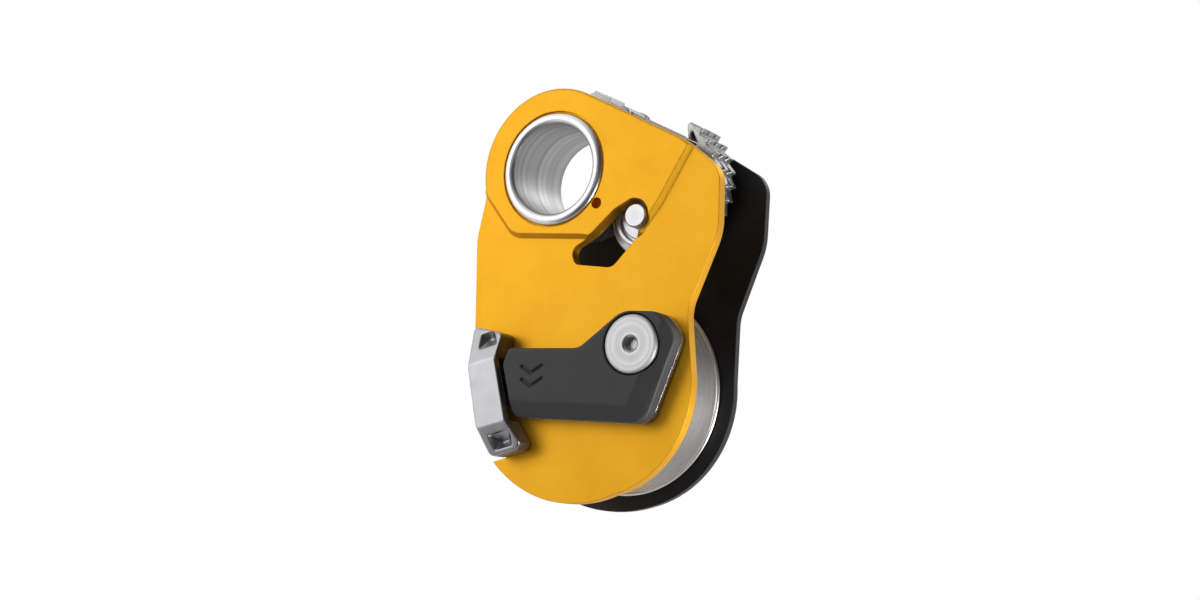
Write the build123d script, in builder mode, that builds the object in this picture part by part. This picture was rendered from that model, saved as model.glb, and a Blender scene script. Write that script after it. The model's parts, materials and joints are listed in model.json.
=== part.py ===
from build123d import *
from math import cos, radians, sin
import os

# Rope pulley with a toothed cam.
# +X right, +Z up, +Y from the front plate to the rear plate. The origin is on the axis of the
# anchor eye, half way along its bore, and the sheave hangs straight below it on the Z axis.

# ---- driving dimensions, mm ----
RUN = 0.05  # radial clearance of a running fit

EYE_BORE = 9.7
EYE_BARREL = 11.2
EYE_FLANGE = 12.0
EYE_SPACER = 13.0
NOSE = -10.0
SEAM = 7.5
TAIL = 10.0

FRONT_RAISED = -9.3
FRONT_LOW = -8.2
FRONT_BACK = -5.8
REAR_FACE = 7.0
REAR_BACK = 9.6
HEAD_BACK = 10.4

SHEAVE_Z = -47.3
SHEAVE = (0.0, SHEAVE_Z)
SHEAVE_RIM = 21.4
SHEAVE_HALF = 5.9
MID = 0.6  # middle of the rope gap
GROOVE_R = 4.6
GROOVE_BOTTOM = 10.5

AXLE_R = 4.0
RACE_OUTER = 8.5
RACE_HALF = 2.5
BALL_R = 1.2
BALL_PITCH = 6.25
BALL_COUNT = 10

CAM = (16.4, -15.3)
CAM_HALF = 4.0
CAM_SHAFT = 3.5
CAM_TIP = 2.55
CAM_BUSH = 4.4
CAM_HUB = 8.0
TOOTH_CENTRE = (20.8, -7.9)
TOOTH_R = 14.1
TOOTH_ROWS = 7
TOOTH_DEPTH = 1.3

LEVER = (13.2, -42.6)
LEVER_FACE = -14.0
LEVER_BASE = -9.6
LEVER_EASE = 0.5
LATCH_BACK = -8.5
CAP_R = 5.94
CAP_FACE = -14.25
CAP_BACK = -12.9
LEVER_STEM = 3.0
LEVER_BUSH = 4.2

CATCH_FACE = -14.4
CATCH_FEET = -8.6
CATCH_LEFT = -25.9
CATCH_WALL = 2.0
POCKET_RIM = -13.2

HOLD_TILT = -38.2  # degrees, the top right edge of the plates
HOLD_PIN = (6.0, 15.6)  # along and off that edge line, from the eye axis
HOLD_FRONT = -1.5
HOLD_BACK = 4.5

os.makedirs("parts", exist_ok=True)


# ---- shared shapes ----
def layer(y):
    """Plane across the eye axis at depth y. An extrusion from it runs to the front."""
    return Plane.XZ.offset(-y)


def turning(centre):
    """Plane through a turning axis: local x is the radius, local y the depth."""
    return Plane(origin=(centre[0], 0, centre[1]), x_dir=(1, 0, 0), z_dir=(0, 0, 1))


def turning_axis(centre):
    return Axis((centre[0], 0, centre[1]), (0, 1, 0))


def around(centre, radius, angle):
    return (centre[0] + radius * cos(radians(angle)), centre[1] + radius * sin(radians(angle)))


def side_plate_face(eye_round, sheave_round, right_corners, left):
    """Outline of a side plate: eye round, nose over the cam, round end over the sheave."""
    top = around((0, 0), eye_round, 51.8)
    shoulder = around((0, 0), eye_round, 176.0)
    low_right = around(SHEAVE, sheave_round, -10.0)
    bottom = around(SHEAVE, sheave_round, -90.0)
    with BuildSketch() as face:
        with BuildLine():
            ThreePointArc(bottom, around(SHEAVE, sheave_round, -50.0), low_right)
            FilletPolyline(low_right, *right_corners, top, radius=(9.0, 14.0, 5.5, 12.0))
            ThreePointArc(top, around((0, 0), eye_round, 120.0), shoulder)
            FilletPolyline(
                shoulder,
                (left + 9.8, -1.6),
                (left + 6.4, -8.6),
                (left, -38.0),
                (left, -53.5),
                radius=(6.0, 8.0, 20.0),
            )
            ThreePointArc((left, -53.5), (left + 8.1, -64.4), bottom)
        make_face()
    return face.sketch_local


def low_face():
    """Everything beyond the step round the eye, where the front plate is thinner."""
    with BuildSketch() as face:
        with BuildLine():
            FilletPolyline(
                (-50, 3.5),
                (-18.6, 3.5),
                (-12.4, -10.4),
                (5.0, -16.0),
                (9.0, -20.5),
                (16.6, -19.0),
                (22.4, -14.4),
                (32.9, -3.8),
                (50, 13),
                (50, -90),
                (-50, -90),
                radius=(0, 0, 4.0, 2.0, 2.0, 2.0, 10.0, 0, 0, 0, 0),
                close=True,
            )
        make_face()
    return face.sketch_local


def slot_face():
    """Dog-leg slot that the tip of the cam axle rides in as the plate swings."""
    with BuildSketch() as face:
        with BuildLine():
            FilletPolyline(
                (16.6, -12.0),
                (12.6, -12.9),
                (6.2, -16.2),
                (0.2, -17.9),
                (0.6, -21.2),
                (9.0, -24.4),
                (16.4, -19.7),
                (17.0, -18.9),
                radius=(2.0, 4.0, 2.0, 1.6, 2.6, 3.0),
            )
            ThreePointArc((17.0, -18.9), (20.1, -15.4), (16.6, -12.0))
        make_face()
    return face.sketch_local


def lever_face(grow):
    """Outline of the press lever seen from the front."""
    with BuildSketch() as face:
        with BuildLine():
            FilletPolyline(
                (1.0, -40.0 + grow),
                (12.4, -35.3 + grow),
                (20.4, -37.8 + grow),
                (23.0 + grow, -43.2),
                (12.0 + grow, -58.6 - grow),
                (-17.2 - grow, -49.6 - grow),
                (-17.4 - grow, -38.4),
                (-15.2 - grow / 2, -35.5 + grow),
                radius=(4.0, 6.0, 4.0, 4.0, 4.0, 1.2, 2.0, 0.6),
                close=True,
            )
        make_face()
    return face.sketch_local


def catch_face():
    """Outline of the catch seen from the front, with both feet."""
    with BuildSketch() as face:
        with BuildLine():
            FilletPolyline(
                (CATCH_LEFT + 0.4, -37.5),
                (-23.8, -28.2),
                (-16.6, -31.8),
                (-18.7, -37.2),
                (-18.7, -49.8),
                (-16.8, -55.2),
                (-18.0, -56.4),
                (-24.6, -56.4),
                (CATCH_LEFT, -49.0),
                radius=(10.0, 1.0, 1.2, 1.5, 2.0, 1.0, 1.0, 1.5, 8.0),
                close=True,
            )
        make_face()
    return face.sketch_local


def coil(centre, radius, wire, front, back):
    """Helical spring wound on an axis along Y."""
    start = (centre[0], front + wire, centre[1])
    height = back - front - 2 * wire
    with BuildPart() as body:
        with BuildLine() as path:
            Helix(pitch=wire * 2.6, height=height, radius=radius, center=start, direction=(0, 1, 0))
        with BuildSketch(Plane(origin=path.line @ 0, z_dir=path.line % 0)):
            Circle(wire)
        sweep(is_frenet=True)
    return body.part


# ---- side plates ----
FRONT_CORNERS = ((24.2, -37.6), (34.2, -24.2), (37.1, -11.9), (30.6, -3.3))
REAR_CORNERS = ((27.4, -38.4), (36.4, -25.5), (40.1, -12.4), (32.5, -4.5))

with BuildPart() as front_side_plate:
    with BuildSketch(layer(FRONT_BACK)):
        add(side_plate_face(17.3, 22.6, FRONT_CORNERS, -28.3))
    extrude(amount=FRONT_BACK - FRONT_RAISED)
    fillet(front_side_plate.faces().sort_by(Axis.Y)[0].edges(), radius=0.5)
    with BuildSketch(layer(FRONT_RAISED)):
        add(low_face())
    extrude(amount=FRONT_RAISED - FRONT_LOW, taper=40, mode=Mode.SUBTRACT)
    # journal for the eye bushing and the recess for its flange
    with BuildSketch(layer(FRONT_BACK)):
        Circle(EYE_BARREL + RUN)
    extrude(amount=10, mode=Mode.SUBTRACT)
    with BuildSketch(layer(-8.65)):
        Circle(EYE_FLANGE + 0.35)
    extrude(amount=5, mode=Mode.SUBTRACT)
    # slot for the cam axle, assembly hole and rivet hole with its countersink
    with BuildSketch(layer(FRONT_BACK)):
        add(slot_face())
        with Locations(LEVER):
            Circle(LEVER_STEM)
    extrude(amount=10, mode=Mode.SUBTRACT)
    with BuildSketch(layer(-7.0)):
        with Locations((8.7, -10.4)):
            Circle(1.15)
    extrude(amount=5, mode=Mode.SUBTRACT)
    with BuildSketch(turning(LEVER)):
        Polygon((0, FRONT_BACK), (4.6, FRONT_BACK), (3.0, -7.2), (0, -7.2), align=None)
    revolve(axis=turning_axis(LEVER), mode=Mode.SUBTRACT)
    # notch that lets the catch wall pass, eased the way the plate swings
    with BuildSketch(layer(FRONT_BACK)):
        Polygon(
            (-40, -18), (-26.4, -27.2), (-23.6, -29.6), (-23.6, -56.4), (-40, -56.4), align=None
        )
    extrude(amount=10, mode=Mode.SUBTRACT)
front_side_plate.part.label = "front_side_plate"
export_step(front_side_plate.part, "parts/front_side_plate.step")

CATCH_SCREWS = ((-23.0, -33.5), (-23.6, -53.0))

with BuildPart() as rear_side_plate:
    with BuildSketch(layer(REAR_BACK)):
        add(side_plate_face(15.8, 24.2, REAR_CORNERS, -28.7))
        Circle(EYE_BARREL, mode=Mode.SUBTRACT)
        with Locations(SHEAVE):
            Circle(AXLE_R, mode=Mode.SUBTRACT)
        with Locations(CAM):
            Circle(CAM_SHAFT, mode=Mode.SUBTRACT)
    extrude(amount=REAR_BACK - REAR_FACE)
    fillet(rear_side_plate.faces().sort_by(Axis.Y)[-1].outer_wire().edges(), radius=1.1)
    for spot in CATCH_SCREWS:
        with BuildSketch(turning(spot)):
            Polygon(
                (0, REAR_FACE), (1.25, REAR_FACE), (1.25, 8.4), (2.45, REAR_BACK), (0, REAR_BACK),
                align=None,
            )
        revolve(axis=turning_axis(spot), mode=Mode.SUBTRACT)
rear_side_plate.part.label = "rear_side_plate"
export_step(rear_side_plate.part, "parts/rear_side_plate.step")

# ---- anchor eye ----
with BuildPart() as eye_bushing:
    with BuildSketch(turning((0, 0))):
        with BuildLine():
            Polyline(
                (EYE_BORE, -9.3),
                (EYE_BORE, SEAM),
                (EYE_BARREL, SEAM),
                (EYE_BARREL, -8.75),
                (EYE_FLANGE, -8.75),
                (EYE_FLANGE, -9.2),
            )
            ThreePointArc((EYE_FLANGE, -9.2), (11.0, NOSE), (EYE_BORE, -9.3))
        make_face()
    revolve(axis=turning_axis((0, 0)))
eye_bushing.part.label = "eye_bushing"
export_step(eye_bushing.part, "parts/eye_bushing.step")

with BuildPart() as eye_rear_collar:
    with BuildSketch(turning((0, 0))):
        Polygon(
            (EYE_BORE, SEAM), (EYE_BARREL, SEAM), (EYE_BARREL, REAR_BACK), (12.4, REAR_BACK),
            (12.4, TAIL - 0.1), (12.1, TAIL), (10.3, TAIL), (EYE_BORE, TAIL - 0.6), align=None,
        )
    revolve(axis=turning_axis((0, 0)))
eye_rear_collar.part.label = "eye_rear_collar"
export_step(eye_rear_collar.part, "parts/eye_rear_collar.step")

with BuildPart() as eye_spacer:
    with BuildSketch(layer(REAR_FACE)):
        Circle(EYE_SPACER)
        Circle(EYE_BARREL, mode=Mode.SUBTRACT)
    extrude(amount=REAR_FACE + 5.2)
eye_spacer.part.label = "eye_spacer"
export_step(eye_spacer.part, "parts/eye_spacer.step")

with BuildPart() as pivot_washer:
    with BuildSketch(layer(-5.2)):
        Circle(14.6)
        Circle(EYE_BARREL, mode=Mode.SUBTRACT)
    extrude(amount=0.55)
pivot_washer.part.label = "pivot_washer"
export_step(pivot_washer.part, "parts/pivot_washer.step")

# ---- sheave and its bearing ----
with BuildPart() as sheave:
    arc_r = GROOVE_BOTTOM + GROOVE_R
    arc_end = (arc_r - GROOVE_R * cos(radians(70)), GROOVE_R * sin(radians(70)))
    with BuildSketch(turning(SHEAVE)):
        with BuildLine():
            ThreePointArc(
                (arc_end[0], MID - arc_end[1]), (GROOVE_BOTTOM, MID), (arc_end[0], MID + arc_end[1])
            )
            for side in (-1, 1):
                Line((arc_end[0], MID + side * arc_end[1]), (20.8, MID + side * 5.2))
                ThreePointArc(
                    (20.8, MID + side * 5.2),
                    (SHEAVE_RIM, MID + side * 5.65),
                    (21.1, MID + side * SHEAVE_HALF),
                )
                Polyline(
                    (21.1, MID + side * SHEAVE_HALF),
                    (13.4, MID + side * SHEAVE_HALF),
                    (11.6, MID + side * 4.4),
                    (RACE_OUTER, MID + side * 4.4),
                )
            Line((RACE_OUTER, MID - 4.4), (RACE_OUTER, MID + 4.4))
        make_face()
        # shoulder behind the bearing, and the groove for its snap ring in front
        with Locations((8.0, MID + 3.0)):
            Rectangle(1.2, 1.0)
        with Locations((8.7, MID - 2.8)):
            Rectangle(0.5, 0.6, mode=Mode.SUBTRACT)
    revolve(axis=turning_axis(SHEAVE))
sheave.part.label = "sheave"
export_step(sheave.part, "parts/sheave.step")

with BuildPart() as bearing_inner_race:
    with BuildSketch(turning(SHEAVE)):
        with Locations(((AXLE_R + 5.55) / 2, MID)):
            Rectangle(5.55 - AXLE_R, 2 * RACE_HALF)
        with Locations((BALL_PITCH, MID)):
            Circle(BALL_R + 0.03, mode=Mode.SUBTRACT)
    revolve(axis=turning_axis(SHEAVE))
bearing_inner_race.part.label = "bearing_inner_race"
export_step(bearing_inner_race.part, "parts/bearing_inner_race.step")

with BuildPart() as bearing_outer_race:
    with BuildSketch(turning(SHEAVE)):
        with Locations(((6.95 + RACE_OUTER) / 2, MID)):
            Rectangle(RACE_OUTER - 6.95, 2 * RACE_HALF)
        with Locations((BALL_PITCH, MID)):
            Circle(BALL_R + 0.03, mode=Mode.SUBTRACT)
        with Locations((7.1, MID - 2.3), (7.1, MID + 2.3)):
            Rectangle(0.5, 0.4, mode=Mode.SUBTRACT)
    revolve(axis=turning_axis(SHEAVE))
bearing_outer_race.part.label = "bearing_outer_race"
export_step(bearing_outer_race.part, "parts/bearing_outer_race.step")

with BuildPart() as bearing_shields:
    with BuildSketch(turning(SHEAVE)):
        with Locations((6.55, MID - 2.3), (6.55, MID + 2.3)):
            Rectangle(1.6, 0.3)
    revolve(axis=turning_axis(SHEAVE))
bearing_shields.part.label = "bearing_shields"
export_step(bearing_shields.part, "parts/bearing_shields.step")

ball_spots = [around(SHEAVE, BALL_PITCH, n * 360 / BALL_COUNT) for n in range(BALL_COUNT)]

with BuildPart() as bearing_balls:
    with Locations([(x, MID, z) for x, z in ball_spots]):
        Sphere(BALL_R)
bearing_balls.part.label = "bearing_balls"
export_step(bearing_balls.part, "parts/bearing_balls.step")

with BuildPart() as bearing_cage:
    with BuildSketch(layer(MID + 1.7)):
        with Locations(SHEAVE):
            Circle(6.8)
            Circle(5.7, mode=Mode.SUBTRACT)
    extrude(amount=3.4)
    with Locations([(x, MID, z) for x, z in ball_spots]):
        Sphere(BALL_R + 0.08, mode=Mode.SUBTRACT)
bearing_cage.part.label = "bearing_cage"
export_step(bearing_cage.part, "parts/bearing_cage.step")

with BuildPart() as bearing_snap_ring:
    with BuildSketch(layer(MID - RACE_HALF)):
        with Locations(SHEAVE):
            Circle(8.9)
            Circle(7.7, mode=Mode.SUBTRACT)
            with Locations((0, -8.3)):
                Rectangle(3.0, 2.4, mode=Mode.SUBTRACT)
    extrude(amount=0.55)
bearing_snap_ring.part.label = "bearing_snap_ring"
export_step(bearing_snap_ring.part, "parts/bearing_snap_ring.step")

with BuildPart() as sheave_axle:
    with BuildSketch(turning(SHEAVE)):
        Polygon(
            (0, -5.2), (3.7, -5.2), (AXLE_R, -4.9), (AXLE_R, -4.2), (3.2, -4.2), (3.2, -3.4),
            (AXLE_R, -3.4), (AXLE_R, REAR_BACK), (6.6, REAR_BACK), (6.6, 9.9), (6.0, HEAD_BACK),
            (1.4, HEAD_BACK), (1.0, 10.0), (0, 10.0), align=None,
        )
    revolve(axis=turning_axis(SHEAVE))
sheave_axle.part.label = "sheave_axle"
export_step(sheave_axle.part, "parts/sheave_axle.step")

with BuildPart() as axle_clip:
    with BuildSketch(layer(-3.4)):
        with Locations(SHEAVE):
            Circle(5.8)
            Circle(3.2, mode=Mode.SUBTRACT)
            with Locations((0, -4.6)):
                Rectangle(4.0, 4.0, mode=Mode.SUBTRACT)
    extrude(amount=0.8)
axle_clip.part.label = "axle_clip"
export_step(axle_clip.part, "parts/axle_clip.step")

with BuildPart() as axle_front_spacer:
    with BuildSketch(layer(MID - RACE_HALF)):
        with Locations(SHEAVE):
            Circle(5.3)
            Circle(AXLE_R, mode=Mode.SUBTRACT)
    extrude(amount=1.5)
axle_front_spacer.part.label = "axle_front_spacer"
export_step(axle_front_spacer.part, "parts/axle_front_spacer.step")

with BuildPart() as axle_rear_spacer:
    with BuildSketch(layer(REAR_FACE)):
        with Locations(SHEAVE):
            Circle(5.3)
            Circle(AXLE_R, mode=Mode.SUBTRACT)
    extrude(amount=REAR_FACE - MID - RACE_HALF)
axle_rear_spacer.part.label = "axle_rear_spacer"
export_step(axle_rear_spacer.part, "parts/axle_rear_spacer.step")

# ---- cam ----
TOOTH_FIRST = -58.0
TOOTH_LAST = 29.0
tooth_step = (TOOTH_LAST - TOOTH_FIRST) / TOOTH_ROWS
tooth_points = []
for row in range(TOOTH_ROWS):
    start = TOOTH_FIRST + row * tooth_step
    tooth_points.append(around(TOOTH_CENTRE, TOOTH_R, start + 0.08 * tooth_step))
    tooth_points.append(around(TOOTH_CENTRE, TOOTH_R - TOOTH_DEPTH, start + 0.96 * tooth_step))

with BuildPart() as cam:
    with BuildSketch(layer(MID + CAM_HALF)):
        with BuildLine():
            Polyline(
                *tooth_points,
                (33.0, -0.9),
                (30.5, 1.5),
                (29.6, 1.2),
                (29.2, -1.9),
                (29.8, -2.0),
                (30.4, 0.2),
                (31.0, -3.4),
                (28.4, -5.0),
                (24.6, -3.6),
                (21.6, -0.6),
                (11.2, -9.2),
                around(CAM, CAM_HUB, 200.0),
                around(CAM, CAM_HUB, 290.0),
                tooth_points[0],
            )
        make_face()
        with Locations(CAM):
            Circle(CAM_HUB)
    extrude(amount=2 * CAM_HALF)
    # rope-side V grooves split each row of teeth into three points
    for depth in (MID - 1.35, MID + 1.35):
        with BuildSketch(turning(TOOTH_CENTRE)):
            Polygon(
                (TOOTH_R + 0.4, depth - 0.95),
                (TOOTH_R + 0.4, depth + 0.95),
                (TOOTH_R - TOOTH_DEPTH, depth),
                align=None,
            )
        revolve(axis=turning_axis(TOOTH_CENTRE), mode=Mode.SUBTRACT)
    # dished recess in the claw's flat top
    with BuildSketch(Plane(origin=(31.75, MID, 0.3), x_dir=(0, 1, 0), z_dir=(0.692, 0, 0.722))):
        Rectangle(3.6, 1.7)
    extrude(amount=-0.8, taper=15, mode=Mode.SUBTRACT)
    # bore for the bush and the ring recess for the spring
    with BuildSketch(layer(MID + CAM_HALF)):
        with Locations(CAM):
            Circle(CAM_BUSH)
    extrude(amount=2 * CAM_HALF, mode=Mode.SUBTRACT)
    with BuildSketch(layer(MID + CAM_HALF)):
        with Locations(CAM):
            Circle(6.8)
            Circle(5.1, mode=Mode.SUBTRACT)
    extrude(amount=3.2, mode=Mode.SUBTRACT)
cam.part.label = "cam"
export_step(cam.part, "parts/cam.step")

with BuildPart() as cam_bush:
    with BuildSketch(layer(MID + CAM_HALF)):
        with Locations(CAM):
            Circle(CAM_BUSH)
            Circle(CAM_SHAFT + RUN, mode=Mode.SUBTRACT)
    extrude(amount=2 * CAM_HALF)
cam_bush.part.label = "cam_bush"
export_step(cam_bush.part, "parts/cam_bush.step")

with BuildPart() as cam_axle:
    with BuildSketch(turning(CAM)):
        Polygon(
            (0, FRONT_LOW), (2.25, FRONT_LOW), (CAM_TIP, -7.9), (CAM_TIP, -5.5), (4.4, -5.5),
            (4.6, -5.3), (4.6, -4.6), (CAM_SHAFT, -4.6), (CAM_SHAFT, REAR_BACK), (5.6, REAR_BACK),
            (5.6, 9.9), (5.1, HEAD_BACK), (0, HEAD_BACK), align=None,
        )
    revolve(axis=turning_axis(CAM))
cam_axle.part.label = "cam_axle"
export_step(cam_axle.part, "parts/cam_axle.step")

with BuildPart() as cam_collar:
    with BuildSketch(turning(CAM)):
        Polygon(
            (CAM_SHAFT, -4.6), (5.15, -4.6), (5.15, -5.2), (5.35, -5.4), (5.95, -5.4), (6.15, -5.2),
            (6.15, -3.5), (CAM_SHAFT, -3.5), align=None,
        )
    revolve(axis=turning_axis(CAM))
cam_collar.part.label = "cam_collar"
export_step(cam_collar.part, "parts/cam_collar.step")

with BuildPart() as cam_rear_spacer:
    with BuildSketch(layer(REAR_FACE)):
        with Locations(CAM):
            Circle(5.0)
            Circle(CAM_SHAFT, mode=Mode.SUBTRACT)
    extrude(amount=REAR_FACE - MID - CAM_HALF - 0.1)
cam_rear_spacer.part.label = "cam_rear_spacer"
export_step(cam_rear_spacer.part, "parts/cam_rear_spacer.step")

with BuildPart() as cam_spring:
    add(coil(CAM, 5.95, 0.4, 1.6, 6.6))
cam_spring.part.label = "cam_spring"
export_step(cam_spring.part, "parts/cam_spring.step")

CAM_STOP = (14.4, -3.9)
with BuildPart() as cam_stop_pin:
    with BuildSketch(layer(REAR_FACE)):
        with Locations(CAM_STOP):
            Circle(1.5)
    extrude(amount=REAR_FACE + 4.6)
    chamfer(cam_stop_pin.faces().sort_by(Axis.Y)[0].edges(), length=0.3)
cam_stop_pin.part.label = "cam_stop_pin"
export_step(cam_stop_pin.part, "parts/cam_stop_pin.step")

# ---- cam hold lever, drawn along the top right edge ----
hold_lines = Plane(
    origin=(0, HOLD_BACK, 0),
    x_dir=(cos(radians(HOLD_TILT)), 0, sin(radians(HOLD_TILT))),
    z_dir=(0, -1, 0),
)
hold_pin_at = hold_lines.from_local_coords(Vector(*HOLD_PIN))
HOLD_CENTRE = (hold_pin_at.X, hold_pin_at.Z)
serrations = []
for tooth in range(5):
    serrations.append((-3.4 + tooth, 17.9))
    serrations.append((-2.9 + tooth, 18.6))

with BuildPart() as hold_lever:
    with BuildSketch(hold_lines):
        with BuildLine():
            Polyline(
                (-3.8, 14.6),
                (-3.8, 17.6),
                *serrations,
                (1.8, 17.6),
                (22.0, 16.9),
                (22.6, 16.5),
                (22.2, 15.4),
                (16.0, 14.6),
                (-3.4, 14.2),
                (-3.8, 14.6),
            )
        make_face()
        with Locations(HOLD_PIN):
            Circle(2.3)
            Circle(1.5 + RUN, mode=Mode.SUBTRACT)
    extrude(amount=HOLD_BACK - HOLD_FRONT)
hold_lever.part.label = "hold_lever"
export_step(hold_lever.part, "parts/hold_lever.step")

with BuildPart() as hold_lever_pin:
    with BuildSketch(layer(REAR_FACE)):
        with Locations(HOLD_CENTRE):
            Circle(1.5)
    extrude(amount=REAR_FACE + 2.6)
    with BuildSketch(layer(-1.6)):
        with Locations(HOLD_CENTRE):
            Circle(2.3)
    extrude(amount=1.0)
    fillet(hold_lever_pin.faces().sort_by(Axis.Y)[0].edges(), radius=0.4)
hold_lever_pin.part.label = "hold_lever_pin"
export_step(hold_lever_pin.part, "parts/hold_lever_pin.step")

with BuildPart() as hold_lever_spring:
    add(coil(HOLD_CENTRE, 2.2, 0.25, HOLD_BACK + 0.1, REAR_FACE))
hold_lever_spring.part.label = "hold_lever_spring"
export_step(hold_lever_spring.part, "parts/hold_lever_spring.step")

# ---- press lever on the front plate ----
with BuildPart() as lever_grip:
    with BuildSketch(layer(LEVER_BASE)):
        add(lever_face(0.0))
    extrude(amount=LEVER_BASE - LEVER_FACE - LEVER_EASE)
    with BuildSketch(layer(LEVER_FACE + LEVER_EASE)):
        add(lever_face(0.0))
    extrude(amount=LEVER_EASE, taper=40)
    # long bevels along the lower edge and the free end
    for (x, z), (along_x, along_z) in (((-30.0, -42.2), (0.955, -0.296)), ((8.2, -56.4), (0.62, 0.785))):
        bevel_plane = Plane(
            origin=(x, 0, z), x_dir=(along_z, 0, -along_x), z_dir=(along_x, 0, along_z)
        )
        out = bevel_plane.y_dir.Y
        with BuildSketch(bevel_plane):
            Polygon(
                (0, out * LEVER_FACE), (0, out * (LEVER_FACE - 2)), (8.0, out * (LEVER_FACE - 2)),
                (8.0, out * (LEVER_FACE + 4.4)), (3.4, out * (LEVER_FACE + 1.4)), align=None,
            )
        extrude(amount=80.0, both=True, mode=Mode.SUBTRACT)
    # well for the rivet cap, bore for the bush, ring pocket for the spring
    with BuildSketch(layer(CAP_BACK + 0.05)):
        with Locations(LEVER):
            Circle(CAP_R + 0.35)
    extrude(amount=3, mode=Mode.SUBTRACT)
    with BuildSketch(layer(LEVER_BASE)):
        with Locations(LEVER):
            Circle(LEVER_BUSH + RUN)
    extrude(amount=6, mode=Mode.SUBTRACT)
    with BuildSketch(layer(LEVER_BASE)):
        with Locations(LEVER):
            Circle(6.4)
    extrude(amount=2.2, mode=Mode.SUBTRACT)
    # two press-direction chevrons
    with BuildSketch(layer(LEVER_FACE + 0.45)):
        with Locations((-10.8, -42.6), (-11.4, -45.2)):
            Polygon(
                (0, 0), (3.3, 1.0), (3.2, 1.65), (0.15, 0.75), (-1.7, 2.75), (-2.25, 2.3), align=None
            )
    extrude(amount=2, mode=Mode.SUBTRACT)
lever_grip.part.label = "lever_grip"
export_step(lever_grip.part, "parts/lever_grip.step")

with BuildPart() as latch_plate:
    with BuildSketch(layer(LATCH_BACK)):
        add(lever_face(0.0))
        with BuildLine():
            FilletPolyline(
                (-16.0, -39.0),
                (-22.6, -37.4),
                (-23.0, -40.2),
                (-21.2, -41.2),
                (-21.2, -43.2),
                (-22.4, -45.8),
                (-16.0, -47.2),
                radius=(0, 0.8, 0.6, 0.8, 0.8, 0.8, 0),
                close=True,
            )
        make_face()
        with Locations(LEVER):
            Circle(LEVER_BUSH + RUN, mode=Mode.SUBTRACT)
    extrude(amount=LATCH_BACK - LEVER_BASE)
latch_plate.part.label = "latch_plate"
export_step(latch_plate.part, "parts/latch_plate.step")

with BuildPart() as lever_rivet:
    with BuildSketch(turning(LEVER)):
        Polygon(
            (0, CAP_FACE + 1.7), (1.35, CAP_FACE + 1.7), (1.35, CAP_FACE + 0.5), (1.85, CAP_FACE),
            (CAP_R - 0.3, CAP_FACE), (CAP_R, CAP_FACE + 0.3), (CAP_R, CAP_BACK), (LEVER_STEM, CAP_BACK),
            (LEVER_STEM, -7.2), (4.6, FRONT_BACK), (0, FRONT_BACK), align=None,
        )
    revolve(axis=turning_axis(LEVER))
lever_rivet.part.label = "lever_rivet"
export_step(lever_rivet.part, "parts/lever_rivet.step")

with BuildPart() as lever_bush:
    with BuildSketch(layer(FRONT_LOW)):
        with Locations(LEVER):
            Circle(LEVER_BUSH)
            Circle(LEVER_STEM, mode=Mode.SUBTRACT)
    extrude(amount=FRONT_LOW - CAP_BACK)
lever_bush.part.label = "lever_bush"
export_step(lever_bush.part, "parts/lever_bush.step")

with BuildPart() as lever_spring:
    add(coil(LEVER, 5.3, 0.35, -11.7, -9.7))
lever_spring.part.label = "lever_spring"
export_step(lever_spring.part, "parts/lever_spring.step")

# ---- catch on the rear plate, reaching round the edge of the front plate ----
with BuildPart() as catch:
    with BuildSketch(layer(CATCH_FEET)):
        add(catch_face())
    extrude(amount=CATCH_FEET - CATCH_FACE)
    # the feet fall away from the bridge
    for low, high, tilt in ((-36.6, -24.0, 1), (-50.2, -62.0, -1)):
        run = abs(high - low)
        with BuildSketch(Plane(origin=(-30, 0, low), x_dir=(0, 0, tilt), z_dir=(-tilt, 0, 0))):
            Polygon(
                (0, CATCH_FACE), (0, CATCH_FACE - 2), (run, CATCH_FACE - 2), (run, CATCH_FACE + run * 0.3),
                align=None,
            )
        extrude(amount=-tilt * 30, mode=Mode.SUBTRACT)
    # tunnel for the lever's tongue
    with BuildSketch(layer(CATCH_FEET)):
        Polygon((-23.8, -36.6), (0, -36.6), (0, -49.9), (-23.8, -49.9), align=None)
    extrude(amount=CATCH_FEET + 12.6, mode=Mode.SUBTRACT)
    # pyramid pockets in the feet
    for spot, width, height in (((-20.3, -31.9), 4.4, 3.8), ((-20.9, -53.8), 5.0, 3.8)):
        for start, depth, slope in ((POCKET_RIM, 2.0, 40), (-15.0, 15.0 + POCKET_RIM, 0)):
            with BuildSketch(layer(start)):
                with Locations(spot):
                    Rectangle(width, height)
            extrude(amount=-depth, taper=slope, mode=Mode.SUBTRACT)
    # wall to the rear plate and its foot
    with BuildSketch(layer(REAR_FACE)):
        Polygon(
            (CATCH_LEFT + 0.4, -36.0), (CATCH_LEFT + 1.2, -31.4), (CATCH_LEFT + CATCH_WALL, -31.4),
            (CATCH_LEFT + CATCH_WALL, -55.4), (CATCH_LEFT + 1.0, -55.4), (CATCH_LEFT, -49.0), align=None,
        )
    extrude(amount=REAR_FACE - CATCH_FEET)
    with BuildSketch(layer(REAR_FACE)):
        for spot in CATCH_SCREWS:
            with Locations(spot):
                Circle(2.4)
    extrude(amount=3.0)
    with BuildSketch(layer(REAR_FACE)):
        with Locations(*CATCH_SCREWS):
            Circle(1.25)
    extrude(amount=2.6, mode=Mode.SUBTRACT)
catch.part.label = "catch"
export_step(catch.part, "parts/catch.step")

with BuildPart() as catch_screws:
    for spot in CATCH_SCREWS:
        with BuildSketch(turning(spot)):
            Polygon(
                (0, 4.5), (1.25, 4.5), (1.25, 8.4), (2.45, REAR_BACK), (1.0, REAR_BACK), (1.0, 8.6),
                (0, 8.6), align=None,
            )
        revolve(axis=turning_axis(spot))
catch_screws.part.label = "catch_screws"
export_step(catch_screws.part, "parts/catch_screws.step")
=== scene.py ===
import json
from math import cos, radians, sin

import bmesh
import bpy
from mathutils import Matrix, Vector

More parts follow.
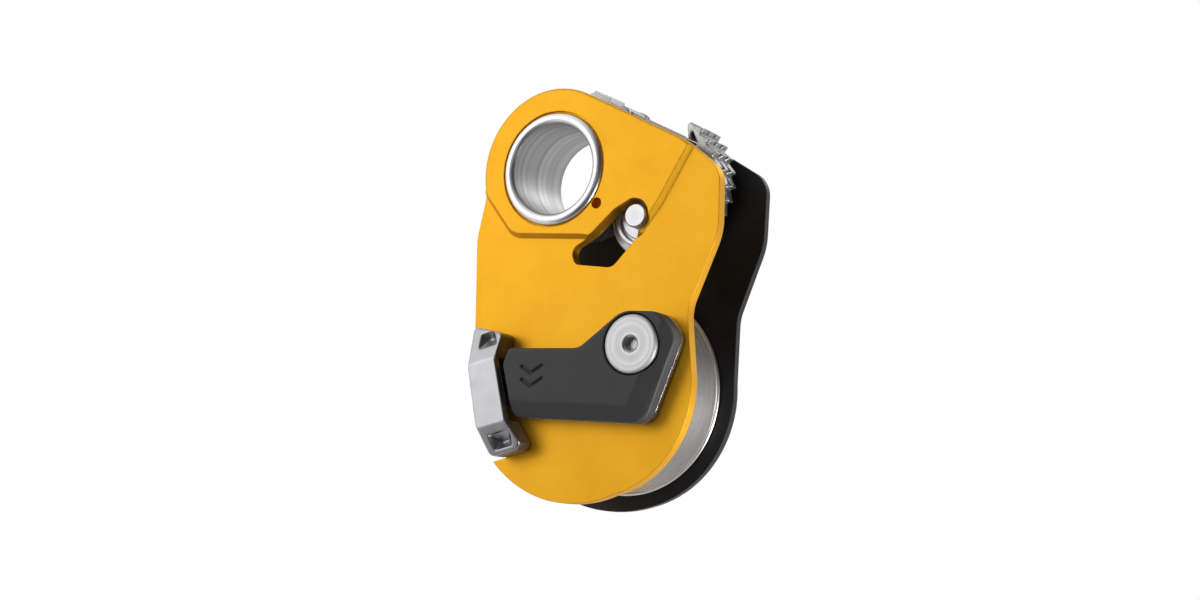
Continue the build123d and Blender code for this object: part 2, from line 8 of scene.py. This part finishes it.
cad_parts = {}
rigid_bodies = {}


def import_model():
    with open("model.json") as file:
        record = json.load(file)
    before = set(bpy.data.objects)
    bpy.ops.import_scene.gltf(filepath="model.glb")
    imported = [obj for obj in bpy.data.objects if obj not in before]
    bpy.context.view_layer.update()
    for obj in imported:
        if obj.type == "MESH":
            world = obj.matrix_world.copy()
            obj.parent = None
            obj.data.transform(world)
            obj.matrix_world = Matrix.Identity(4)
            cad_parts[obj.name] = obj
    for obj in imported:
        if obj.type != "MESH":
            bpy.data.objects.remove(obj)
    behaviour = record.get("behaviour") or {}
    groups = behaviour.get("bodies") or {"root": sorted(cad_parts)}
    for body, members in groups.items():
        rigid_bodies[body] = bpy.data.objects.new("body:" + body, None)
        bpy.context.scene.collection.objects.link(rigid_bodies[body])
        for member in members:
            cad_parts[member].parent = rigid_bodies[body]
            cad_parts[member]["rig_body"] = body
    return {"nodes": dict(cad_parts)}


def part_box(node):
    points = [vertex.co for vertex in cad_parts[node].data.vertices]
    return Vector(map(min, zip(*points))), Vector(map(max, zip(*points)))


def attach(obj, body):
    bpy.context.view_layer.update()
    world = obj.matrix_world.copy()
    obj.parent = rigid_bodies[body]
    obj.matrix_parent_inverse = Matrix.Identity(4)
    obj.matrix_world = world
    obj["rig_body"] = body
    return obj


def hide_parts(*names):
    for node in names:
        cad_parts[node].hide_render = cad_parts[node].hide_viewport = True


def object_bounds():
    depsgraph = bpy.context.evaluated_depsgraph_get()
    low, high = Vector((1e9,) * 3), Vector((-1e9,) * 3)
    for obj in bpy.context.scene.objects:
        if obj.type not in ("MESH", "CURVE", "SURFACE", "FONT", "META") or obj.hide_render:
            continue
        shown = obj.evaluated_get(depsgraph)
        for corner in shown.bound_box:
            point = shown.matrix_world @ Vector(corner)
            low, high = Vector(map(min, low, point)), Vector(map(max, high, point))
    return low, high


# Rope pulley: camera, materials for every CAD node, refined pieces and the studio.

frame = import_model()
cad_box = [list(corner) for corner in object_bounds()]
nodes = frame["nodes"]
scene = bpy.context.scene
MM = 0.001


def centre_of(node):
    low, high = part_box(node)
    return (low + high) / 2


EYE = centre_of("eye_bushing")
SHEAVE = centre_of("sheave")
CAM = centre_of("cam_axle")
LEVER = centre_of("lever_rivet")
BORE_RADIUS = 9.7 * MM  # of the eye bushing


# ---- camera, at the viewing angle of the reference ----
CAMERA_AZIMUTH = radians(28.78)
CAMERA_ELEVATION = radians(-15.14)
CAMERA_ROLL = radians(-10.11)
CAMERA_DISTANCE = 0.4183
CAMERA_SHIFT = (0.0102, -0.02757)
CAMERA_TARGET = Vector((0, -0.010, 0))
LENS_MM = 60
SENSOR_MM = 36
NEAREST_SEEN = 0.01


def make_camera():
    forward = Vector((
        -sin(CAMERA_AZIMUTH) * cos(CAMERA_ELEVATION),
        cos(CAMERA_AZIMUTH) * cos(CAMERA_ELEVATION),
        -sin(CAMERA_ELEVATION),
    ))
    level = forward.cross(Vector((0, 0, 1))).normalized()
    upright = level.cross(forward)
    right = cos(CAMERA_ROLL) * level + sin(CAMERA_ROLL) * upright
    up = -sin(CAMERA_ROLL) * level + cos(CAMERA_ROLL) * upright
    across, above = CAMERA_SHIFT
    place = CAMERA_TARGET - forward * CAMERA_DISTANCE + right * across + up * above
    data = bpy.data.cameras.new("camera")
    data.lens = LENS_MM
    data.sensor_width = SENSOR_MM
    data.clip_start = NEAREST_SEEN
    camera = bpy.data.objects.new("camera", data)
    scene.collection.objects.link(camera)
    turn = Matrix((right, up, -forward)).transposed().to_4x4()
    camera.matrix_world = Matrix.Translation(place) @ turn
    scene.camera = camera


# ---- material helpers ----
EDGE_SAMPLES = 6


def mix_colours(tree, factor, first, second):
    """A blend of two colours, each a linked output or three plain values."""
    node = tree.nodes.new("ShaderNodeMix")
    node.data_type = "RGBA"
    sockets = [socket for socket in node.inputs if socket.type == "RGBA"]
    for slot, value in zip(sockets, (first, second)):
        if isinstance(value, tuple):
            slot.default_value = (*value, 1)
        else:
            tree.links.new(value, slot)
    tree.links.new(factor, node.inputs[0])
    return [socket for socket in node.outputs if socket.type == "RGBA"][0]


class Look:
    """A Principled material whose colour, roughness and relief come from procedural nodes."""

    def __init__(self, name, metallic=0.0, roughness=0.5, colour=(0.8, 0.8, 0.8)):
        self.mat = bpy.data.materials.new(name)
        self.mat.use_nodes = True
        self.tree = self.mat.node_tree
        self.shader = self.tree.nodes["Principled BSDF"]
        self.shader.inputs["Metallic"].default_value = metallic
        self.shader.inputs["Roughness"].default_value = roughness
        self.shader.inputs["Base Color"].default_value = (*colour, 1)
        self.place = self.add("ShaderNodeTexCoord").outputs["Object"]
        self.relief = None

    def add(self, kind, **values):
        node = self.tree.nodes.new(kind)
        for key, value in values.items():
            setattr(node, key, value)
        return node

    def feed(self, source, target):
        self.tree.links.new(source, target)

    def maths(self, operation, first, second=0.0):
        node = self.add("ShaderNodeMath", operation=operation)
        for slot, value in zip(node.inputs, (first, second)):
            if isinstance(value, (int, float)):
                slot.default_value = value
            else:
                self.feed(value, slot)
        return node.outputs[0]

    def noise(self, size, detail=3.0, roughness=0.55, stretch=(1, 1, 1)):
        """Noise whose features are about `size` metres, longer along an axis with a large stretch."""
        scaled = self.add("ShaderNodeMapping")
        scaled.inputs["Scale"].default_value = [1 / (size * s) for s in stretch]
        self.feed(self.place, scaled.inputs["Vector"])
        node = self.add("ShaderNodeTexNoise")
        node.inputs["Scale"].default_value = 1.0
        node.inputs["Detail"].default_value = detail
        node.inputs["Roughness"].default_value = roughness
        self.feed(scaled.outputs[0], node.inputs["Vector"])
        return node.outputs["Fac"]

    def spread(self, value, low, high, start=0.3, end=0.7):
        """A value from start to end, mapped to low to high."""
        node = self.add("ShaderNodeMapRange")
        node.inputs["From Min"].default_value = start
        node.inputs["From Max"].default_value = end
        node.inputs["To Min"].default_value = low
        node.inputs["To Max"].default_value = high
        self.feed(value, node.inputs["Value"])
        return node.outputs[0]

    def colour(self, factor, first, second):
        """Base colour between two colours."""
        mixed = mix_colours(self.tree, factor, first, second)
        self.feed(mixed, self.shader.inputs["Base Color"])

    def clouds(self, size, detail, first, second, roughness=0.55):
        """Base colour that drifts between two colours over patches of the given size."""
        patches = self.noise(size, detail, roughness)
        self.colour(self.spread(patches, 0, 1), first, second)

    def rough(self, value, low, high, start=0.3, end=0.7):
        """Roughness from low to high, as the value goes from start to end."""
        self.feed(self.spread(value, low, high, start, end), self.shader.inputs["Roughness"])

    def bump(self, height, depth, strength):
        """Relief of the given depth in metres, added over any relief so far."""
        node = self.add("ShaderNodeBump")
        node.inputs["Strength"].default_value = strength
        node.inputs["Distance"].default_value = depth
        self.feed(height, node.inputs["Height"])
        if self.relief is not None:
            self.feed(self.relief, node.inputs["Normal"])
        self.relief = node.outputs[0]
        self.feed(self.relief, self.shader.inputs["Normal"])

    def soft_edges(self, radius):
        """Edges read as broken by the given radius, in metres."""
        node = self.add("ShaderNodeBevel", samples=EDGE_SAMPLES)
        node.inputs["Radius"].default_value = radius
        self.relief = node.outputs[0]
        self.feed(self.relief, self.shader.inputs["Normal"])

    def radius_about(self, centre):
        """Distance from the axis through centre along Y."""
        parts = self.add("ShaderNodeSeparateXYZ")
        self.feed(self.place, parts.inputs[0])
        across = self.maths("SUBTRACT", parts.outputs["X"], centre.x)
        along = self.maths("SUBTRACT", parts.outputs["Z"], centre.z)
        squares = self.maths(
            "ADD", self.maths("MULTIPLY", across, across), self.maths("MULTIPLY", along, along)
        )
        return self.maths("SQRT", squares), parts.outputs["Y"]


RING_PITCH = 0.12 * MM
RING_DEPTH = 0.004 * MM


def turned(look, centre, strength):
    """Fine rings left by a lathe tool, about the axis through centre, uneven from ring to ring."""
    radius, depth_along = look.radius_about(centre)
    rings = look.add("ShaderNodeCombineXYZ")
    look.feed(look.maths("MULTIPLY", radius, 1 / RING_PITCH), rings.inputs["X"])
    look.feed(look.maths("MULTIPLY", depth_along, 1 / RING_PITCH), rings.inputs["Y"])
    node = look.add("ShaderNodeTexNoise", noise_dimensions="2D")
    node.inputs["Scale"].default_value = 1.0
    node.inputs["Detail"].default_value = 2.0
    look.feed(rings.outputs[0], node.inputs["Vector"])
    look.bump(node.outputs["Fac"], RING_DEPTH, strength)
    return node.outputs["Fac"]


# ---- materials ----
def amber_anodised():
    look = Look("amber_anodised", 0.96)
    look.soft_edges(0.25 * MM)
    look.clouds(9 * MM, 4, (0.82, 0.425, 0.024), (0.77, 0.385, 0.020))
    grain = look.noise(0.13 * MM, 2, 0.6)
    look.rough(grain, 0.44, 0.56)
    look.bump(grain, 0.012 * MM, 0.35)
    return look.mat


def black_anodised():
    look = Look("black_anodised", 0.35)
    look.soft_edges(0.3 * MM)
    look.clouds(7 * MM, 4, (0.007, 0.007, 0.008), (0.012, 0.012, 0.013))
    grain = look.noise(0.15 * MM, 2, 0.6)
    look.rough(grain, 0.36, 0.50)
    look.bump(grain, 0.012 * MM, 0.35)
    return look.mat


def turned_metal(name, centre, roughness, colour, strength=0.35):
    look = Look(name, 1.0)
    look.soft_edges(0.15 * MM)
    rings = turned(look, centre, strength)
    look.rough(rings, roughness * 0.8, roughness * 1.3)
    look.clouds(3.5 * MM, 4, colour, tuple(part * 0.93 for part in colour))
    return look.mat


LIP_START = BORE_RADIUS + 0.1 * MM
LIP_END = BORE_RADIUS + 0.5 * MM
BAND_WIDTH = 1.6 * MM


def eye_aluminium():
    """Polished lip round a duller, rougher machined bore that keeps the tool's wider bands; the
    bore's colour is painted darker than the lip, as painted shade inside the hole.
    """
    look = Look("bushing_aluminium", 1.0)
    look.soft_edges(0.15 * MM)
    turned(look, EYE, 0.15)
    radius, depth = look.radius_about(EYE)
    bands = look.add("ShaderNodeTexNoise", noise_dimensions="1D")
    bands.inputs["Scale"].default_value = 1.0
    bands.inputs["Detail"].default_value = 2.0
    look.feed(look.maths("MULTIPLY", depth, 1 / BAND_WIDTH), bands.inputs["W"])
    band = look.spread(bands.outputs["Fac"], 0, 1, 0.35, 0.65)
    # Painted shade: the bore wall's colour (0.42 to 0.60, in random bands along its depth) is far
    # darker than the lip's 0.88, standing in for the shade inside the hole.
    painted_shade_bore = mix_colours(look.tree, band, (0.42, 0.42, 0.425), (0.60, 0.60, 0.605))
    lip = look.spread(radius, 0, 1, LIP_START, LIP_END)
    look.colour(lip, painted_shade_bore, (0.88, 0.88, 0.89))
    look.rough(lip, 0.50, 0.34, 0, 1)
    return look.mat


def satin_aluminium():
    look = Look("satin_aluminium", 1.0)
    look.soft_edges(0.3 * MM)
    look.clouds(2.5 * MM, 4, (0.43, 0.43, 0.44), (0.38, 0.38, 0.39))
    grain = look.noise(0.12 * MM, 3, 0.6)
    look.rough(grain, 0.30, 0.46)
    look.bump(grain, 0.010 * MM, 0.4)
    return look.mat


def cast_steel():
    look = Look("cast_steel", 1.0)
    look.soft_edges(0.2 * MM)
    look.clouds(1.6 * MM, 5, (0.52, 0.52, 0.52), (0.33, 0.33, 0.335), 0.65)
    grain = look.noise(0.22 * MM, 4, 0.65)
    look.rough(grain, 0.33, 0.55)
    look.bump(grain, 0.03 * MM, 0.5)
    return look.mat


def drawn_steel(name, colour, roughness):
    look = Look(name, 1.0, colour=colour)
    look.soft_edges(0.1 * MM)
    streak = look.noise(0.08 * MM, 2, 0.5, stretch=(1, 30, 1))
    look.rough(streak, roughness * 0.8, roughness * 1.35)
    look.bump(streak, 0.005 * MM, 0.3)
    return look.mat


def bronze():
    look = Look("bronze", 1.0, 0.33)
    grain = look.noise(0.2 * MM, 3)
    look.colour(look.spread(grain, 0, 1), (0.65, 0.45, 0.22), (0.52, 0.33, 0.15))
    look.bump(grain, 0.008 * MM, 0.4)
    return look.mat


def grey_polymer():
    look = Look("grey_polymer")
    look.soft_edges(0.3 * MM)
    look.clouds(5 * MM, 3, (0.047, 0.047, 0.048), (0.040, 0.040, 0.041))
    spark = look.noise(0.14 * MM, 3, 0.6)
    look.rough(spark, 0.50, 0.66)
    look.bump(spark, 0.02 * MM, 0.4)
    return look.mat


def white_polymer():
    look = Look("white_polymer", colour=(0.78, 0.78, 0.75))
    grain = look.noise(0.3 * MM, 3)
    look.rough(grain, 0.4, 0.55)
    look.bump(grain, 0.01 * MM, 0.3)
    return look.mat


def paint(names, mat):
    for name in names:
        mesh = nodes[name].data
        mesh.materials.clear()
        mesh.materials.append(mat)


# ---- refined pieces that stand for CAD nodes ----
FLAT_ANGLE = radians(0.6)  # CAD facets closer than this are one face
SHARP_ANGLE = radians(28)  # an edge past this gets rounded
PLATE_SMOOTH = radians(32)
CAST_SMOOTH = radians(80)
WELD = 1e-7
UPRIGHT = 0.05  # share of a wall's normal that may point through the plate
STEP_DEPTH = 0.3 * MM  # an outline edge that climbs more than this crosses the plate's step
EDGE_SEGMENTS = 4
LARGE_FACE_PULL = 80  # how far large faces lead the shading normals
SOFTENING = 0.5


def settled(piece):
    """Applies the modifiers on a piece and keeps the plain mesh."""
    graph = bpy.context.evaluated_depsgraph_get()
    mesh = bpy.data.meshes.new_from_object(piece.evaluated_get(graph))
    piece.modifiers.clear()
    piece.data = mesh


def copy_of(node, name):
    """A new piece with the CAD node's shape, its flat faces joined up."""
    shape = bmesh.new()
    shape.from_mesh(nodes[node].data)
    bmesh.ops.remove_doubles(shape, verts=shape.verts, dist=WELD)
    bmesh.ops.dissolve_limit(shape, angle_limit=FLAT_ANGLE, verts=shape.verts, edges=shape.edges)
    mesh = bpy.data.meshes.new(name)
    shape.to_mesh(mesh)
    shape.free()
    piece = bpy.data.objects.new(name, mesh)
    scene.collection.objects.link(piece)
    return piece


def finish_piece(piece, node, mat, smooth_angle):
    piece.data.materials.clear()
    piece.data.materials.append(mat)
    piece.data.shade_smooth()
    piece.data.set_sharp_from_angle(angle=smooth_angle)
    normals = piece.modifiers.new("normals", "WEIGHTED_NORMAL")
    normals.keep_sharp = True
    normals.weight = LARGE_FACE_PULL
    settled(piece)
    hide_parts(node)
    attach(piece, nodes[node]["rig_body"])


def outline_walls(shape):
    """The faces of a plate's outer edge: upright, and joined to the outermost one."""
    upright = {face for face in shape.faces if abs(face.normal.y) < UPRIGHT}
    start = max(upright, key=lambda face: max(corner.co.x for corner in face.verts))
    walls = {start}
    reached = [start]
    while reached:
        for edge in reached.pop().edges:
            for face in edge.link_faces:
                if face in upright and face not in walls:
                    walls.add(face)
                    reached.append(face)
    return walls


def broken_edges(node, name, mat, outline, other):
    """A plate with its sharp edges rounded, its outline more than its holes."""
    piece = copy_of(node, name)
    shape = bmesh.new()
    shape.from_mesh(piece.data)
    weights = shape.edges.layers.float.new("bevel_weight_edge")
    walls = outline_walls(shape)
    for edge in shape.edges:
        if len(edge.link_faces) == 2 and edge.calc_face_angle(0) > SHARP_ANGLE:
            on_outline = any(face in walls for face in edge.link_faces)
            climbs = abs(edge.verts[0].co.y - edge.verts[1].co.y) > STEP_DEPTH
            edge[weights] = 1.0 if on_outline and not climbs else other / outline
    shape.to_mesh(piece.data)
    shape.free()
    bevel = piece.modifiers.new("edges", "BEVEL")
    bevel.width = outline
    bevel.segments = EDGE_SEGMENTS
    bevel.limit_method = "WEIGHT"
    bevel.use_clamp_overlap = True
    bevel.miter_outer = "MITER_ARC"
    settled(piece)
    finish_piece(piece, node, mat, PLATE_SMOOTH)


def cast_form(node, name, mat, grid, rounds):
    """The CAD shape with every edge softened, as a forged or cast piece has."""
    piece = copy_of(node, name)
    remesh = piece.modifiers.new("grid", "REMESH")
    remesh.mode = "VOXEL"
    remesh.voxel_size = grid
    smooth = piece.modifiers.new("soften", "SMOOTH")
    smooth.factor = SOFTENING
    smooth.iterations = rounds
    settled(piece)
    finish_piece(piece, node, mat, CAST_SMOOTH)


def make_pieces():
    amber = amber_anodised()
    black = black_anodised()
    broken_edges("front_side_plate", "amber_plate", amber, 0.8 * MM, 0.22 * MM)
    broken_edges("rear_side_plate", "black_plate", black, 0.5 * MM, 0.2 * MM)
    cast_form("catch", "catch_body", satin_aluminium(), 0.16 * MM, 8)
    cast_form("cam", "cam_casting", cast_steel(), 0.18 * MM, 2)
    cast_form("lever_grip", "lever_moulding", grey_polymer(), 0.16 * MM, 6)


def paint_nodes():
    paint(["eye_bushing", "eye_rear_collar"], eye_aluminium())
    satin_steel = drawn_steel("satin_steel", (0.40, 0.40, 0.41), 0.42)
    paint(["hold_lever", "hold_lever_pin"], satin_steel)
    spacer = turned_metal("spacer_aluminium", EYE, 0.32, (0.7, 0.7, 0.71))
    paint(["eye_spacer"], spacer)
    groove = turned_metal("sheave_aluminium", SHEAVE, 0.30, (0.92, 0.92, 0.92), 0.12)
    paint(["sheave"], groove)
    rivet = turned_metal("rivet_aluminium", LEVER, 0.5, (0.62, 0.62, 0.63), 0.15)
    paint(["lever_rivet"], rivet)
    axle = turned_metal("cam_axle_steel", CAM, 0.36, (0.52, 0.52, 0.53), 0.2)
    paint(["cam_axle", "cam_collar", "cam_rear_spacer"], axle)
    race = turned_metal("race_steel", SHEAVE, 0.2, (0.7, 0.7, 0.72))
    paint(["bearing_inner_race", "bearing_outer_race", "bearing_shields"], race)
    paint(["sheave_axle", "axle_front_spacer", "axle_rear_spacer"], race)
    bright = drawn_steel("bright_steel", (0.66, 0.66, 0.67), 0.25)
    paint(["latch_plate", "cam_stop_pin", "catch_screws", "bearing_balls"], bright)
    spring = drawn_steel("spring_steel", (0.42, 0.42, 0.44), 0.3)
    paint(["cam_spring", "hold_lever_spring", "lever_spring"], spring)
    paint(["bearing_snap_ring", "axle_clip"], spring)
    paint(["cam_bush", "lever_bush"], bronze())
    paint(["pivot_washer", "bearing_cage"], white_polymer())


# ---- studio ----
FLOOR_SIZE = 8
FLOOR_DROP = 0.125  # below the lowest point of the part, which hangs
FLOOR_COLOUR = (0.86, 0.86, 0.86)
CARD_COLOUR = (0.012, 0.012, 0.012)
LIT_POINT = Vector((0, 0, -0.025))
SKY_AXIS = Vector((-0.70, -0.12, 0.70)).normalized()  # where the studio is brightest
SKY_DARK = (0.03, 0.03, 0.032)
SKY_PALE = (0.92, 0.92, 0.92)
SKY_RANGE = (0.42, 0.88)  # of the way from the darkest direction to the brightest
BACKDROP_RANGE = (0.40, 0.75)  # of the way from sideways to straight behind the part
WHITE = (1.0, 1.0, 1.0)


def cloth(name, colour):
    """A matt surface, barely uneven."""
    look = Look(name, roughness=0.9)
    look.clouds(4 * MM, 3, colour, tuple(part * 0.985 for part in colour))
    return look.mat


def make_floor():
    lowest = cad_box[0][2]
    bpy.ops.mesh.primitive_plane_add(size=FLOOR_SIZE, location=(0, 0, lowest - FLOOR_DROP))
    floor = bpy.context.object
    floor.name = "floor"
    floor.data.materials.append(cloth("floor_paint", FLOOR_COLOUR))


def card(name, place, toward, size):
    """A dark card that keeps bounced light off the faces that look at it."""
    bpy.ops.mesh.primitive_grid_add(x_subdivisions=2, y_subdivisions=2, size=size, location=place)
    board = bpy.context.object
    board.name = name
    board.rotation_euler = (Vector(toward) - Vector(place)).to_track_quat("Z", "Y").to_euler()
    board.data.materials.append(cloth(name + "_cloth", CARD_COLOUR))
    board.visible_camera = False


def area_light(name, place, size, power):
    data = bpy.data.lights.new(name, "AREA")
    data.size = size
    data.energy = power
    light = bpy.data.objects.new(name, data)
    scene.collection.objects.link(light)
    light.location = place
    light.rotation_euler = (LIT_POINT - Vector(place)).to_track_quat("-Z", "Y").to_euler()
    light.visible_camera = False


def sky_gradient(tree, direction):
    """Dark to pale with the angle to the sky axis."""
    toward = tree.nodes.new("ShaderNodeVectorMath")
    toward.operation = "DOT_PRODUCT"
    toward.inputs[1].default_value = SKY_AXIS
    tree.links.new(direction, toward.inputs[0])
    # from -1..1 to 0..1
    share = tree.nodes.new("ShaderNodeMath")
    share.operation = "MULTIPLY_ADD"
    share.inputs[1].default_value = 0.5
    share.inputs[2].default_value = 0.5
    tree.links.new(toward.outputs["Value"], share.inputs[0])
    ramp = tree.nodes.new("ShaderNodeValToRGB")
    ramp.color_ramp.interpolation = "EASE"
    for stop, place, colour in zip(ramp.color_ramp.elements, SKY_RANGE, (SKY_DARK, SKY_PALE)):
        stop.position = place
        stop.color = (*colour, 1)
    tree.links.new(share.outputs[0], ramp.inputs[0])
    return ramp.outputs[0]


def make_world():
    """A soft studio sky: pale above and to the left, dark low on the right, white as a backdrop."""
    world = bpy.data.worlds.new("studio")
    scene.world = world
    world.use_nodes = True
    tree = world.node_tree
    direction = tree.nodes.new("ShaderNodeTexCoord").outputs["Generated"]
    parts = tree.nodes.new("ShaderNodeSeparateXYZ")
    tree.links.new(direction, parts.inputs[0])
    behind = tree.nodes.new("ShaderNodeMapRange")
    behind.inputs["From Min"].default_value = BACKDROP_RANGE[0]
    behind.inputs["From Max"].default_value = BACKDROP_RANGE[1]
    tree.links.new(parts.outputs["Y"], behind.inputs["Value"])
    around = mix_colours(tree, behind.outputs[0], sky_gradient(tree, direction), SKY_PALE)
    seen = tree.nodes.new("ShaderNodeLightPath").outputs["Is Camera Ray"]
    whole = mix_colours(tree, seen, around, WHITE)
    tree.links.new(whole, tree.nodes["Background"].inputs["Color"])


def make_studio():
    make_world()
    make_floor()
    card("card_below", (0.05, -0.12, -0.17), (0.03, -0.06, 0), 0.5)
    card("card_right", (0.26, -0.16, -0.06), (0, 0, -0.03), 0.34)
    area_light("key", (-0.44, -0.68, 0.32), 0.45, 1.18)
    area_light("glint", (0.11, 0.0, -0.13), 0.05, 0.19)
    area_light("rim", (0.30, 0.40, 0.30), 0.25, 0.6)
    scene.view_settings.view_transform = "Standard"


make_camera()
make_pieces()
paint_nodes()
make_studio()
